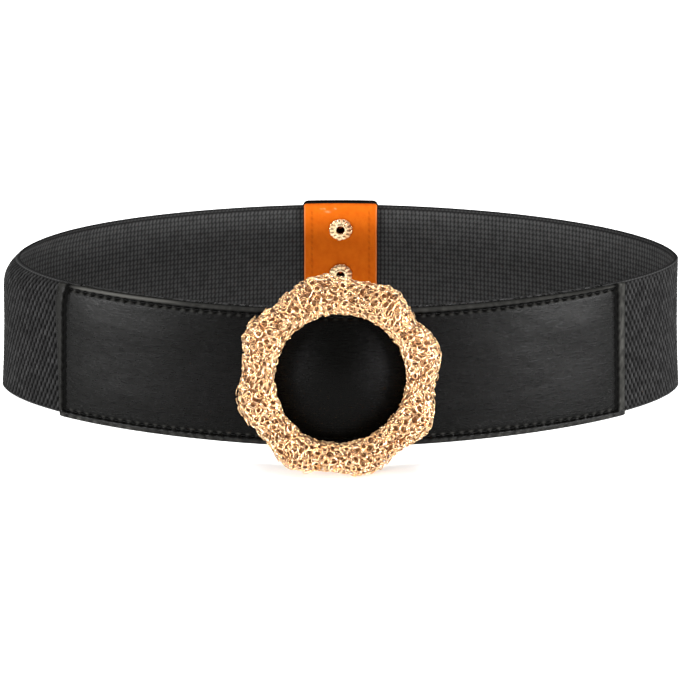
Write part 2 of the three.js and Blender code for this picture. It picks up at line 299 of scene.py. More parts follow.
LOOP_TURNS = np.radians(np.linspace(-90, 270, 3601))
middle_line = face_point(LOOP_TURNS, elastic.width / 2, 0)
LOOP_LENGTHS = np.concatenate([[0], np.cumsum(np.linalg.norm(np.diff(middle_line, axis=0), axis=1))])
LOOP_LENGTH = LOOP_LENGTHS[-1]
REAR_CENTRE = LOOP_LENGTHS[len(LOOP_LENGTHS) // 2]


def belt_point(distance, z, out):
    turn = np.interp(np.mod(distance, LOOP_LENGTH), LOOP_LENGTHS, LOOP_TURNS)
    return face_point(turn, z, out)


def standing_matrix():
    """From the belt's own frame in millimetres to where it stands, in metres"""
    axis = next(m["axis"] for m in frame["record"]["mounts"] if m["name"] == "waist")
    turn = Matrix.Rotation(-math.atan2(axis[1], axis[2]), 4, "X")
    low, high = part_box("tab_outer_leather")
    heel = Vector(((low.x + high.x) / 2, high.y, low.z))
    tab_heel = face_point(math.pi / 2, tab.bottom, CLEARANCE + tab.leather)
    scale = Matrix.Scale(0.001, 4)
    return Matrix.Translation(heel - turn @ scale @ Vector(tab_heel)) @ turn @ scale


STANDING = standing_matrix()


def standing(points):
    matrix = np.array(STANDING)
    return points.reshape(-1, 3) @ matrix[:3, :3].T + matrix[:3, 3]


# Meshes


def numbered(shape, first=0):
    """A table of point numbers"""
    return first + np.arange(math.prod(shape)).reshape(shape)


def closed(index):
    """The table with its first column again at its end"""
    return np.concatenate([index, index[:, :1]], axis=1)


def grid_faces(index):
    """Quads between neighbouring rows and columns of a table of point numbers"""
    corners = [index[:-1, :-1], index[1:, :-1], index[1:, 1:], index[:-1, 1:]]
    return np.stack(corners, axis=-1).reshape(-1, 4)


def zip_faces(first, second):
    """Triangles between two lines of point numbers that may differ in length"""
    faces = []
    here = there = 0
    last, end = len(first) - 1, len(second) - 1
    while here < last or there < end:
        if there == end or (here < last and (here + 1) * end <= (there + 1) * last):
            faces.append((first[here], first[here + 1], second[there]))
            here += 1
        else:
            faces.append((first[here], second[there + 1], second[there]))
            there += 1
    return np.array([face for face in faces if len(set(face)) == 3])


def outward(points, faces):
    """The same faces, all turned if the closed body that they make is inside out"""
    volume = 0
    for group in faces:
        for corner in range(1, group.shape[1] - 1):
            a, b, c = (points[group[:, pick]] for pick in (0, corner, corner + 1))
            volume += np.einsum("ij,ij->", a, np.cross(b, c))
    return faces if volume > 0 else [group[:, ::-1] for group in faces]


def joined(bodies):
    """One list of points and faces from several"""
    offset, points, faces = 0, [], []
    for body_points, body_faces in bodies:
        points.append(body_points)
        faces.extend(group + offset for group in body_faces)
        offset += len(body_points)
    return np.concatenate(points), faces


def piece(name, points, faces, material, replaces=(), layers=None):
    """A named object on the belt's body, from points where they stand and groups of faces"""
    mesh = bpy.data.meshes.new(name)
    mesh.from_pydata(points.tolist(), [], [face for group in faces for face in group.tolist()])
    mesh.shade_smooth()
    for layer, values in (layers or {}).items():
        attribute = mesh.attributes.new(layer, "FLOAT_VECTOR", "POINT")
        attribute.data.foreach_set("vector", values.astype(np.float32).ravel())
    made = bpy.data.objects.new(name, mesh)
    bpy.context.scene.collection.objects.link(made)
    mesh.materials.append(material)
    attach(made, "root")
    if replaces:
        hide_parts(*replaces)
    return made


# Materials


def set_inputs(tree, target, inputs):
    """Links the inputs that are given a socket and sets the others"""
    for name, value in inputs.items():
        if isinstance(value, bpy.types.NodeSocket):
            tree.links.new(value, target.inputs[name])
        else:
            target.inputs[name].default_value = value


def new_material(name):
    made = bpy.data.materials.new(name)
    made.use_nodes = True
    return made, made.node_tree


def shaded(material, colour, relief, roughness, specular=0.5, metallic=0.0, glow=0.0):
    """The material with its surface's inputs set"""
    inputs = {
        "Base Color": colour,
        "Roughness": roughness,
        "Specular IOR Level": specular,
        "Metallic": metallic,
        "Emission Strength": glow,
    }
    if relief is not None:
        inputs["Normal"] = relief
    tree = material.node_tree
    set_inputs(tree, tree.nodes["Principled BSDF"], inputs)
    return material


def node(tree, kind, inputs, **settings):
    made = tree.nodes.new(kind)
    for name, value in settings.items():
        setattr(made, name, value)
    set_inputs(tree, made, inputs)
    return made


def layer_parts(tree, layer):
    """A mesh layer's vector, and its three parts"""
    read = node(tree, "ShaderNodeAttribute", {}, attribute_name=layer)
    parts = node(tree, "ShaderNodeSeparateXYZ", {"Vector": read.outputs["Vector"]})
    return read.outputs["Vector"], parts.outputs


def stretched(tree, vector, scale):
    """The vector with each part scaled"""
    made = node(tree, "ShaderNodeVectorMath", {0: vector, 1: scale}, operation="MULTIPLY")
    return made.outputs["Vector"]


def object_place(tree):
    """The place on the object in millimetres"""
    read = node(tree, "ShaderNodeTexCoord", {})
    return stretched(tree, read.outputs["Object"], (1000, 1000, 1000))


def noise(tree, vector, scale, detail=3.0, roughness=0.55):
    inputs = {"Vector": vector, "Scale": scale, "Detail": detail, "Roughness": roughness}
    return node(tree, "ShaderNodeTexNoise", inputs).outputs["Fac"]


def sheet_noise(tree, place, across, up, detail=3.0, roughness=0.55):
    """Noise on a sheet laid flat, with its own scale each way"""
    return noise(tree, stretched(tree, place, (across, up, 0)), 1.0, detail, roughness)


def maths(tree, operation, first, second):
    return node(tree, "ShaderNodeMath", {0: first, 1: second}, operation=operation).outputs["Value"]


def mapped(tree, value, low, high, new_low=0.0, new_high=1.0):
    inputs = {"Value": value, "From Min": low, "From Max": high, "To Min": new_low, "To Max": new_high}
    return node(tree, "ShaderNodeMapRange", inputs).outputs["Result"]


def mixed(tree, share, first, second):
    """A colour between two, each a colour or a socket"""
    first, second = ((*c, 1) if isinstance(c, tuple) else c for c in (first, second))
    mix = node(tree, "ShaderNodeMix", {0: share, 6: first, 7: second}, data_type="RGBA")
    return mix.outputs[2]


def bump(tree, height, distance, strength=1.0):
    inputs = {"Height": height, "Distance": distance, "Strength": strength}
    return node(tree, "ShaderNodeBump", inputs).outputs["Normal"]


def elastic_material():
    """Charcoal yarn with painted shade down between the threads, and fine fibres along them"""
    made, tree = new_material("woven_elastic")
    place, parts = layer_parts(tree, "weave")
    uneven = sheet_noise(tree, place, 0.55, 0.41, 2.0)
    fibres = sheet_noise(tree, place, 5.5, 1.6, 3.0, 0.65)
    lit = maths(tree, "MULTIPLY", parts["Z"], mapped(tree, uneven, 0.3, 0.7, 0.9, 1.08))
    lit = maths(tree, "MULTIPLY", lit, mapped(tree, fibres, 0.25, 0.75, 0.75, 1.2))
    return shaded(made, mixed(tree, lit, *tint.yarn), bump(tree, fibres, 0.0001, 0.8), 0.85, 0.04)


def leather_material(name, colours, roughness):
    """Soft black leather: fine grain, sideways creases, dull grooves, and the painted highlights and
    painted shade of its hide layer, rougher where it is pale
    """
    made, tree = new_material(name)
    place, parts = layer_parts(tree, "hide")
    inputs = {"Vector": stretched(tree, place, (1, 1.35, 0)), "Scale": 1.15, "Randomness": 1.0}
    cells = node(tree, "ShaderNodeTexVoronoi", inputs, feature="DISTANCE_TO_EDGE").outputs["Distance"]
    pores = sheet_noise(tree, place, 3.2, 3.2)
    creases = sheet_noise(tree, place, 0.24, 1.25, 3.0, 0.6)
    patches = sheet_noise(tree, place, 0.035, 0.05, 2.0)
    grain = maths(tree, "MULTIPLY", mapped(tree, cells, 0.0, 0.12), 0.35)
    grain = maths(tree, "ADD", grain, maths(tree, "MULTIPLY", pores, 0.3))
    grain = maths(tree, "ADD", grain, maths(tree, "MULTIPLY", creases, 1.1))
    lit = maths(tree, "MULTIPLY", parts["Z"], mapped(tree, patches, 0.3, 0.7, 0.75, 1.1))
    gloss = mapped(tree, creases, 0.3, 0.7, roughness + 0.06, roughness - 0.05)
    dull = mapped(tree, parts["Z"], 0.0, 0.0018, 0.5, 0.0)
    # Rougher where the hide layer paints highlights
    rougher_where_pale = mapped(tree, parts["Z"], 0.04, 0.1, 0.0, 0.35)
    gloss = maths(tree, "ADD", gloss, maths(tree, "ADD", dull, rougher_where_pale))
    return shaded(made, mixed(tree, lit, *colours), bump(tree, grain, 0.00009, 0.7), gloss, 0.045)


def suede_material():
    """Orange suede with a mottled nap, darker stitch lines, painted shade along its top edge and a few
    pale scuffs
    """
    made, tree = new_material("orange_suede")
    place, parts = layer_parts(tree, "hide")
    mottle = sheet_noise(tree, place, 0.3, 0.2, 4.0, 0.6)
    nap = sheet_noise(tree, place, 4.0, 4.0, 3.0, 0.7)
    colour = mixed(tree, mapped(tree, mottle, 0.3, 0.7), *tint.suede)
    colour = mixed(tree, mapped(tree, nap, 0.3, 0.75, 0.25, 0), colour, tint.suede_nap)
    colour = mixed(tree, maths(tree, "MULTIPLY", parts["Z"], -1.0), colour, tint.suede_line)
    colour = mixed(tree, parts["Z"], colour, tint.suede_scuff)
    return shaded(made, colour, bump(tree, nap, 0.00012, 0.8), 0.95, 0.04)


def gold_material(name, bright, warm, deep, roughness):
    """Pale gold plating, warmer in patches and brown where it lies deep, a brown that is painted shade
    and, on the snaps, grime too
    """
    made, tree = new_material(name)
    place = object_place(tree)
    patches = noise(tree, place, 0.55, 3.0)
    marks = noise(tree, place, 2.6, 2.0)
    tarnish_and_shade = layer_parts(tree, "tarnish_and_shade")[1]["X"]
    plated = mixed(tree, mapped(tree, patches, 0.36, 0.66), bright, warm)
    colour = mixed(tree, tarnish_and_shade, plated, deep)
    gloss = mapped(tree, marks, 0.3, 0.7, roughness - 0.06, roughness + 0.1)
    return shaded(made, colour, bump(tree, marks, 0.00008, 0.4), gloss, metallic=1)


def core_material():
    """Metal deep between the wires, painted dark brown: painted shade over its dark gold"""
    made, tree = new_material("ring_core")
    patches = noise(tree, object_place(tree), 0.7, 4.0)
    colour = mixed(tree, mapped(tree, patches, 0.35, 0.65), *tint.core)
    return shaded(made, colour, bump(tree, patches, 0.0006, 0.6), 0.55, metallic=0.7)


def thread_material():
    made, tree = new_material("black_thread")
    twist = noise(tree, object_place(tree), 5.0, 2.0)
    colour = mixed(tree, mapped(tree, twist, 0.3, 0.7), *tint.thread)
    return shaded(made, colour, bump(tree, twist, 0.0001, 0.8), 0.7, 0.08)


def floor_material():
    """White paper that glows a little, as the photo's ground is pure white"""
    made, tree = new_material("pale_floor")
    grain = noise(tree, object_place(tree), 0.004, 2.0)
    colour = mixed(tree, mapped(tree, grain, 0.3, 0.7), *tint.floor)
    return shaded(made, colour, None, 0.9, 0.1, glow=0.35)


# Woven elastic halves


def seam_away(side, z):
    """Distance of a seam from the front centre, along its own side"""
    low, high = panel.right_seam if side > 0 else panel.left_seam
    return lerp(low, high, z / elastic.width)


def outer_weave(column, row):
    """Height of the outside's slanting net, from 0 in a hole to 1 on a thread"""
    across = 2 * np.pi * column
    up = np.pi * row
    rising, falling = 0.57, 0.43
    net = rising * np.cos(across + up) + falling * np.cos(across - up)
    return smoothstep(net, -0.78, 0.42)


def inner_weave(column, row):
    """Height of the inside's short upright stitches, with shallow level grooves between rows"""
    groove = smoothstep(np.abs(np.sin(np.pi * row)), 0.0, 0.55)
    waver = 0.1 * np.sin(2 * np.pi * row)
    gap = smoothstep(np.abs(np.sin(np.pi * (column + waver))), 0.12, 0.85)
    return gap * lerp(0.35, 1, groove)


def weave_levels(rim, samples):
    """Heights of one face's rows of points, close together on its rims"""
    rim_levels = rim * np.array([0, 0.1, 0.28, 0.5, 0.72, 0.88])
    body = elastic.width - 2 * rim
    middle = rim + body * np.linspace(0, 1, samples * weave.rows + 1)
    return np.concatenate([rim_levels, middle, elastic.width - rim_levels[::-1]])


def woven_look(side, is_outer, away, z, column):
    """How far the weave is sunk at a place, and how light its yarn is drawn, with painted shade in its
    holes and grooves
    """
    rim = np.where(is_outer, weave.outer_rim, weave.inner_rim)
    row = (z - rim) / (elastic.width - 2 * rim) * weave.rows
    wander = weave.wander * soft_noise(3 + side, away / 14, z / 11)
    from_rim = np.minimum(z, elastic.width - z)
    in_body = smoothstep(from_rim / rim, 0.85, 1.15)
    outer = outer_weave(weave.outer_share * column + wander, row)
    relief = np.where(is_outer, outer, inner_weave(column + 0.6 * wander, row))
    cell = soft_noise(11 + side, column + 0.5 * (np.floor(row) % 2), row)
    lit = np.clip(relief * (1 + np.where(is_outer, 0.2, 0.3) * cell), 0, 1.3)
    # The holes and grooves between the threads are painted darker: painted shade
    lit = np.where(is_outer, 0.35 * lit**2.3, 0.2 + 0.9 * lit)
    thread_line = groove_at(from_rim / rim - 0.5, 0.22)
    rim_lit = 0.1 + thread_line * (0.45 + 0.25 * np.cos(2 * np.pi * column))
    depth = np.where(is_outer, weave.outer_depth, weave.inner_depth)
    sunk = lerp(weave.rim_dip * (1 - thread_line), depth * (1 - relief), in_body)
    edge = edge_round(from_rim, weave.edge_width) / weave.edge_width
    return sunk + weave.edge_sink * edge, lerp(rim_lit, lit, in_body)


def elastic_half(side, name, material):
    """One half of the band from inside the leather to inside the tab, woven on both faces"""
    tab_end = REAR_CENTRE - tab.elastic_gap / 2
    length = tab_end - np.mean(panel.right_seam if side > 0 else panel.left_seam) + weave.seam_lap
    columns = round(length / weave.column)
    hidden = np.linspace((weave.seam_lap - elastic.hidden_end) / length, 0, 5)[:-1]
    shown = np.linspace(0, 1, weave.column_samples * columns + 1)
    shares = np.concatenate([hidden, shown])[:, None]

    outer_z = weave_levels(weave.outer_rim, weave.outer_samples)
    inner_z = weave_levels(weave.inner_rim, weave.inner_samples)[::-1]
    z = np.concatenate([outer_z, inner_z])[None, :]
    is_outer = np.arange(z.shape[1])[None, :] < len(outer_z)
    start = seam_away(side, z) - weave.seam_lap
    away = lerp(start, tab_end, shares)
    sunk, lit = woven_look(side, is_outer, away, z, shares * columns)

    from_end = np.minimum(away - (start + weave.seam_lap - elastic.hidden_end), tab_end - away)
    share_hollow = np.interp(z / elastic.width, *np.transpose(HOLLOW))
    sink = elastic.hollow * share_hollow * smoothstep(from_end, tab.width, 2 * tab.width)
    out = np.where(is_outer, -sink - sunk, -elastic.thickness - sink + sunk)
    points = standing(belt_point(side * away, np.broadcast_to(z, away.shape), out))
    index = numbered(away.shape)
    outer_line = index[:, : len(outer_z)]
    inner_line = index[:, : len(outer_z) - 1 : -1]
    faces = [
        grid_faces(closed(index)),
        zip_faces(outer_line[0], inner_line[0])[:, ::-1],
        zip_faces(outer_line[-1], inner_line[-1]),
    ]
    # The two halves and the two faces lie apart on the flat sheet that the noise reads
    sheet = np.broadcast_arrays(away + 400 * (side > 0), z + 90.0 * ~is_outer, lit)
    layers = {"weave": np.stack(sheet, axis=-1)}
    return piece(f"{name}_woven", points, outward(points, faces), material, [name], layers)


# Leather front panel


def dome_at(distance, z):
    """Rise of the pad that fills the ring's window"""
    reach = np.hypot(distance, z - buckle.height) / buckle.inner_radius
    return panel.dome_rise * np.maximum(0, 1 - reach**2) ** 2


def stitch_drops(from_seam):
    """How far the top and bottom stitch lines lie inside the panel's edges"""
    top = lerp(stitch.top_drop, stitch.top_drop_middle, smoothstep(from_seam, 0, 95))
    return top, stitch.bottom_rise


def panel_marks(distance, z, from_seam):
    """Where a place lies against the panel's edges and stitches, and what marks it there"""
    from_top, from_bottom = panel.top - z, z - panel.bottom
    top_drop, bottom_rise = stitch_drops(from_seam)
    inside_top, inside_bottom = from_top - top_drop, from_bottom - bottom_rise
    nearer_top = inside_top < inside_bottom
    inside = np.minimum(inside_top, inside_bottom)
    inside_seam = hide.seam_groove - np.abs(distance)
    between_seams = smoothstep(inside_seam, -0.6, 1.2)
    gather = 0.5 + 0.5 * np.cos(2 * np.pi * distance / stitch.pitch)
    pinch = lerp(0.3, 1, smoothstep(gather, 0.35, 0.8))
    ragged = inside_seam + 0.3 * np.cos(2 * np.pi * z / stitch.pitch)
    seam_line = smoothstep(ragged, -0.7, 0.1) * (1 - smoothstep(ragged, 0.7, 3.2))
    above_hem = smoothstep(inside_bottom, -1.4, 0.3)
    return Sizes(
        from_top=from_top,
        nearer_top=nearer_top,
        inside=inside,
        inside_seam=inside_seam,
        between_seams=between_seams,
        gather=gather,
        notch=groove_at(inside + 0.1, hide.notch_width) * between_seams * pinch,
        seam_line=seam_line * above_hem,
        seam_fold=arch(from_seam / np.maximum(from_seam - inside_seam, 0.1)) * above_hem,
        strip_share=np.where(nearer_top, from_top / top_drop, from_bottom / bottom_rise),
        wrinkle=soft_noise(25, distance / 1.2, z / 5),
    )


def panel_rise(distance, z, from_seam):
    """Rise of the leather's front over its plain face"""
    at = panel_marks(distance, z, from_seam)
    bite = hide.bite * at.gather * groove_at(at.inside, 2.2) * at.between_seams
    shoulder = np.maximum(at.inside - bite, 0)
    slope = np.maximum(at.inside_seam, 0)
    pad_up = 0.55 * (1 - np.exp(-shoulder / 0.8)) + 0.45 * smoothstep(shoulder, 0, 15)
    pad_along = 0.45 * (1 - np.exp(-slope / 2.0)) + 0.55 * smoothstep(slope, 0, 16)
    swell = hide.swell * soft_noise(21, distance / 26, z / 15)
    small_swell = hide.small_swell * soft_noise(22, distance / 9, z / 5)
    crease = hide.crease * soft_noise(23, distance / 3.6, z)
    pad = pad_up * pad_along * (panel.pad_rise + swell + small_swell + crease)
    strip = arch(at.strip_share)
    fold = hide.fold_rise * np.maximum(strip * (1.2 - 0.4 * at.gather), at.seam_fold)
    sunk = hide.notch_depth * at.notch + hide.seam_depth * at.seam_line
    return pad + fold + hide.wrinkle * at.wrinkle * strip - sunk


def panel_tone_and_painted_light(distance, z, from_seam):
    """How pale the leather is drawn: painted highlights on its strips, hem, seams, gathers and top edge,
    painted shade in its grooves and in the ring's window
    """
    at = panel_marks(distance, z, from_seam)
    # The lighter marks below are painted highlights, brighter towards the ends and on the right seam
    far_out = smoothstep(np.abs(distance), 40, 120)
    between = 1 - at.gather
    hem = tone_and_painted_light.hem + (tone_and_painted_light.hem_between + tone_and_painted_light.hem_far_out * far_out) * between
    strip = arch(1.5 * at.strip_share) * (0.85 + 0.6 * at.wrinkle)
    strip = strip * np.where(at.nearer_top, tone_and_painted_light.top_strip, hem)
    rub = 0.8 + 0.5 * soft_noise(24, distance / 0.8, z / 1.6)
    seam = at.seam_fold * np.where(distance > 0, tone_and_painted_light.right_seam, tone_and_painted_light.left_seam) * rub
    scallop = tone_and_painted_light.scallop * between**2 * groove_at(at.inside - 0.7, 0.45) * at.between_seams
    left_stretch = smoothstep(-distance, 66, 84) * smoothstep(distance, -128, -118)
    edge = groove_at(at.from_top - 0.7, 0.55) * lerp(tone_and_painted_light.edge, tone_and_painted_light.left_edge, left_stretch)
    pale = tone_and_painted_light.plain + np.maximum.reduce([strip, seam, scallop, edge])
    # Painted shade in the notches, in the seam groove and in the ring's window
    in_groove = np.clip(1.15 * np.maximum(at.notch, at.seam_line), 0, 1)
    past_window = smoothstep(np.hypot(distance, z - buckle.height), 20, 46)
    return pale * (1 - in_groove) * lerp(tone_and_painted_light.window_share, 1, past_window)


def panel_front_out(distance, z, from_seam):
    top_round = lerp(hide.top_round_at_seam, hide.top_round, smoothstep(from_seam, 8, 22))
    out = PANEL_FRONT + panel_rise(distance, z, from_seam) + dome_at(distance, z)
    out = out - edge_round(panel.top - z, top_round) - edge_round(from_seam, hide.end_round)
    return out - edge_round(z - panel.bottom, hide.bottom_round)


def panel_back_out(distance, z, from_seam):
    from_edge = np.minimum(z - panel.bottom, panel.top - z)
    line = groove_at(from_edge - stitch.bottom_rise, 0.9) * smoothstep(from_seam, 1, 2.5)
    ripple = soft_noise(31, distance / 18, z / 9) * smoothstep(from_edge, 1, 6)
    rise = hide.back_line * line + hide.back_ripple * ripple
    return PANEL_BACK + edge_round(from_edge, hide.back_round) + rise + dome_at(distance, z)


def panel_mesh():
    """The leather as one body, split at both ends to take the elastic"""
    height = panel.top - panel.bottom
    nominal = panel.right_seam[0] + panel.left_seam[0]
    along = clustered(nominal, 7.2, 0.36, 0.62)
    slot_depth = elastic.hidden_end + CLEARANCE
    slot_end = int(np.argmin(np.abs(along - slot_depth)))
    stations = len(along)
    inwards = np.arange(slot_end + 1)
    ends = [inwards, stations - 1 - inwards]
    corner_cut = edge_round(np.minimum(along, nominal - along), hide.corner)

    def places(levels, rows):
        cut = corner_cut[rows, None]
        z = panel.bottom + cut + levels[None, :] * (height - cut) / height
        left, right = -seam_away(-1, z), seam_away(1, z)
        distance = lerp(left, right, (along / nominal)[rows, None])
        return distance, z, np.minimum(distance - left, right - distance)

    def face_at(levels, out_at, slot):
        """A face of the leather, whose two rims lie at the slot's own face"""
        found = places(levels, np.arange(stations))
        out = out_at(*found)
        out[:, [0, -1]] = slot
        return *found, out

    front_rim = np.array([0, 0, 0.03, 0.12, 0.28])
    front_middle = clustered(height, 7.6, 0.38, 0.85)[1:-1]
    front_levels = np.concatenate([front_rim, front_middle, height - front_rim[::-1]])
    back_rim = np.array([0, 0, 0.1, 0.4])
    back_middle = np.linspace(1, height - 1, 14)
    back_levels = np.concatenate([back_rim, back_middle, height - back_rim[::-1]])[::-1]
    wall_levels = np.linspace(height, 0, 13)[1:-1]
    surfaces = [
        face_at(front_levels, panel_front_out, SLOT_FRONT),
        face_at(back_levels, panel_back_out, SLOT_BACK),
    ]
    for out in (SLOT_FRONT, SLOT_BACK):
        for rows in ends:
            found = places(wall_levels, rows)
            surfaces.append((*found, np.full_like(found[0], out)))

    tables, points, layers, count = [], [], [], 0
    for distance, z, from_seam, out in surfaces:
        is_front = count == 0
        pale = panel_tone_and_painted_light(distance, z, from_seam) if is_front else np.full_like(out, tone_and_painted_light.hidden)
        tables.append(numbered(out.shape, count))
        points.append(belt_point(distance, z, out).reshape(-1, 3))
        layers.append(np.stack([distance + 200, z, pale], axis=-1).reshape(-1, 3))
        count += out.size

    front, back, *walls = tables
    middle = slice(slot_end, stations - slot_end)
    top_bridge = np.stack([front[middle, -1], back[middle, 0]], axis=1)
    bottom_bridge = np.stack([back[middle, -1], front[middle, 0]], axis=1)
    faces = [grid_faces(table) for table in (front, back, top_bridge, bottom_bridge)]
    for number, rows in enumerate(ends):
        fore = np.concatenate([front[rows, -1:], walls[number], front[rows, :1]], axis=1)
        aft = np.concatenate([back[rows, :1], walls[2 + number], back[rows, -1:]], axis=1)
        web = np.stack([fore[-1], aft[-1]], axis=1)
        parts = [
            grid_faces(fore),
            grid_faces(aft)[:, ::-1],
            grid_faces(web)[:, ::-1],
            zip_faces(front[rows[0]][::-1], fore[0]),
            zip_faces(back[rows[0]], aft[0])[:, ::-1],
        ]
        faces += parts if number == 0 else [part[:, ::-1] for part in parts]
    return np.concatenate(points), faces, np.concatenate(layers)


# A thread from end to end: share of its length, then its lift and width as shares of its radius
THREAD_SHAPE = [
    (0, -1.44, 0.35),
    (0.08, -0.16, 0.8),
    (0.3, 0.56, 1),
    (0.5, 0.72, 1.05),
    (0.7, 0.56, 1),
    (0.92, -0.16, 0.8),
    (1, -1.44, 0.35),
]


def capsule(start, end, lift, radius):
    """A short six-sided thread between two points whose middle stands up along a direction"""
    steps, heights, widths = np.transpose(THREAD_SHAPE)
    centres = lerp(start[None], end[None], steps[:, None]) + radius * heights[:, None] * lift
    along = (end - start) / np.linalg.norm(end - start)
    side = np.cross(along, lift)
    turns = around(6)[:, None]
    ring = np.cos(turns) * side + np.sin(turns) * np.cross(side, along)
    points = (centres[:, None] + radius * widths[:, None, None] * ring).reshape(-1, 3)
    index = numbered((len(steps), 6))
    caps = [index[0, [0, 1, 2, 3]], index[0, [0, 3, 4, 5]]]
    caps += [index[-1, [0, 3, 2, 1]], index[-1, [0, 5, 4, 3]]]
    return points, [grid_faces(closed(index)), np.stack(caps)]


def panel_stitches(material):
    """Running stitches along both edges, on the front and the back"""
    bodies = []

    def stitch_at(middle, z, is_front):
        ends = middle - stitch.length / 2, middle + stitch.length / 2
        places = []
        for distance in ends:
            out = PANEL_BACK + stitch.back_lift
            if is_front:
                from_seam = min(distance + seam_away(-1, z), seam_away(1, z) - distance)
                out = PANEL_FRONT + stitch.front_lift + panel_rise(distance, z, from_seam)
            places.append(belt_point(distance, z, float(out + dome_at(distance, z))))
        outwards = belt_point(ends[0], z, 1.0) - belt_point(ends[0], z, 0.0)
        bodies.append(capsule(*places, outwards if is_front else -outwards, stitch.radius))

    count = int((hide.seam_groove - 2) // stitch.pitch)
    for is_front in (True, False):
        for number in range(-count, count + 1):
            middle = number * stitch.pitch
            top_drop, bottom_rise = stitch_drops(panel.left_seam[1] - abs(middle))
            for z in (panel.top - top_drop, panel.bottom + bottom_rise):
                stitch_at(middle, z, is_front)
    points, faces = joined(bodies)
    return piece("panel_stitches", standing(points), faces, material)


def front_panel(leather, thread):
    points, faces, layer = panel_mesh()
    points, layers = standing(points), {"hide": layer}
    faces = outward(points, faces)
    piece("front_panel_leather", points, faces, leather, ["front_panel"], layers)
    panel_stitches(thread)


# Buckle ring of looped wire


def ring_profile(angle):
    """Outer radius, bore radius and fullness of the ring at angles in degrees"""
    at, outer, bore, full = [], [], [], []
    for number, (crest_at, crest, dip_at, dip, crest_bore) in enumerate(LOBES):
        following = LOBES[(number + 1) % len(LOBES)][4]
        at += [crest_at, dip_at]
        outer += [crest, dip]
        bore += [crest_bore, (crest_bore + following) / 2]
        full += [1, 0]
    at, outer, bore, full = (np.array(values + values[:1], float) for values in (at, outer, bore, full))
    at[-1] += 360
    wrapped = np.mod(angle - at[0], 360) + at[0]
    after = np.clip(np.searchsorted(at, wrapped, side="right"), 1, len(at) - 1)
    share = smoothstep(wrapped, at[after - 1], at[after])

    def between(values):
        return lerp(values[after - 1], values[after], share)

    return buckle.outer_radius * between(outer), buckle.inner_radius * between(bore), between(full)


def ring_matrix():
    """From the ring's own frame, X right, Y up and Z out, to the belt's"""
    centre = Vector(belt_point(0.0, buckle.height, 0.0))
    outwards = Vector((0, -math.cos(FRONT_LEAN), math.sin(FRONT_LEAN)))
    turn = Matrix.Rotation(math.pi / 2 - FRONT_LEAN, 4, "X")
    return Matrix.Translation(centre + RING_STANDOFF * outwards) @ turn


RING = np.array(ring_matrix())


def from_ring(points):
    return points.reshape(-1, 3) @ RING[:3, :3].T + RING[:3, 3]


def ring_point(angle, turn, rise):
    """Point of the lumpy ring in its own frame, raised over its skin"""
    outer, bore, full = ring_profile(np.degrees(angle))
    middle, half_width = (outer + bore) / 2, (outer - bore) / 2
    half_depth = buckle.half_depth * lerp(0.9, 1, full)
    radius = middle + (half_width + rise) * np.cos(turn)
    x, y = radius * np.cos(angle), radius * np.sin(angle)
    bow = buckle.bow * (x / buckle.outer_radius) ** 2
    return np.stack([x, y, (half_depth + rise) * np.sin(turn) - bow], axis=-1)


def smooth_wander(rng, count, knots):
    """Closed smooth random line of values, about 1 in size"""
    values = np.fft.rfft(rng.normal(size=count))
    values *= np.exp(-((np.arange(len(values)) / knots) ** 2))
    values[0] = 0
    line = np.fft.irfft(values, count)
    return line / line.std()


def wire_tubes(centres, normals):
    """Closed tubes along closed lines of points, one line a row"""
    ahead = np.roll(centres, -1, axis=1) - np.roll(centres, 1, axis=1)
    ahead /= np.linalg.norm(ahead, axis=-1, keepdims=True)
    side = np.cross(ahead, normals)
    side /= np.linalg.norm(side, axis=-1, keepdims=True)
    up = np.cross(side, ahead)
    turns = around(wire.sides)[:, None]
    ring = np.cos(turns) * side[..., None, :] + np.sin(turns) * up[..., None, :]
    points = centres[..., None, :] + wire.radius * ring
    index = numbered(points.shape[:3])
    beside = np.roll(index, -1, axis=2)
    corners = [index, np.roll(index, -1, axis=1), np.roll(beside, -1, axis=1), beside]
    return points.reshape(-1, 3), np.stack(corners, axis=-1).reshape(-1, 4)


def wire_piece(name, lines, material):
    """Wires along closed lines over the ring, each given as angles, turns and heights"""
    floor_height = 0.00002
    bodies, depths = [], []
    for angle, turn, height in lines:
        height = np.clip(height, wire.lowest, wire.highest)
        centres = ring_point(angle, turn, height)
        above = ring_point(angle, turn, height + 1)
        points, faces = wire_tubes(centres, above - centres)
        points = standing(from_ring(points))
        points[:, 2] = np.maximum(points[:, 2], floor_height)
        bodies.append((points, outward(points, [faces])))
        # Wires are drawn darker and browner the deeper they lie: painted shade between the wires
        depths.append(np.repeat(np.clip((0.05 - height.ravel()) / 1.3, 0, 1), wire.sides))
    points, faces = joined(bodies)
    layers = {"tarnish_and_shade": np.repeat(np.concatenate(depths), 3)}
    return piece(name, points, faces, material, (), layers)


def curled_wire(name, material, seed, winds, curls, radius, rise):
    """Wire that winds round the ring in small overlapping curls, closed on itself"""
    loops = winds * curls
    count = loops * wire.samples
    rng = np.random.default_rng(seed)

    def wander(share):
        return smooth_wander(rng, count, loops * share)

    progress = np.arange(count) / count
    phase = 2 * np.pi * loops * progress + 0.8 * wander(0.4)
    reach = radius * (1 + 0.22 * wander(0.3))
    stray_a = 0.8 * wander(0.4)
    stray_b = 0.8 * wander(0.4)
    facing = 2.5 * wander(0.3)
    lift = 0.25 * wander(0.4)
    angle = 2 * np.pi * progress + (reach * np.cos(phase) + stray_a) / RING_MIDDLE
    turn = 2 * np.pi * winds * progress + (reach * np.sin(phase) + stray_b) / RING_TUBE
    height = rise + lift + 0.5 * np.sin(phase + facing)
    return wire_piece(name, [(angle[None], turn[None], height[None])], material)


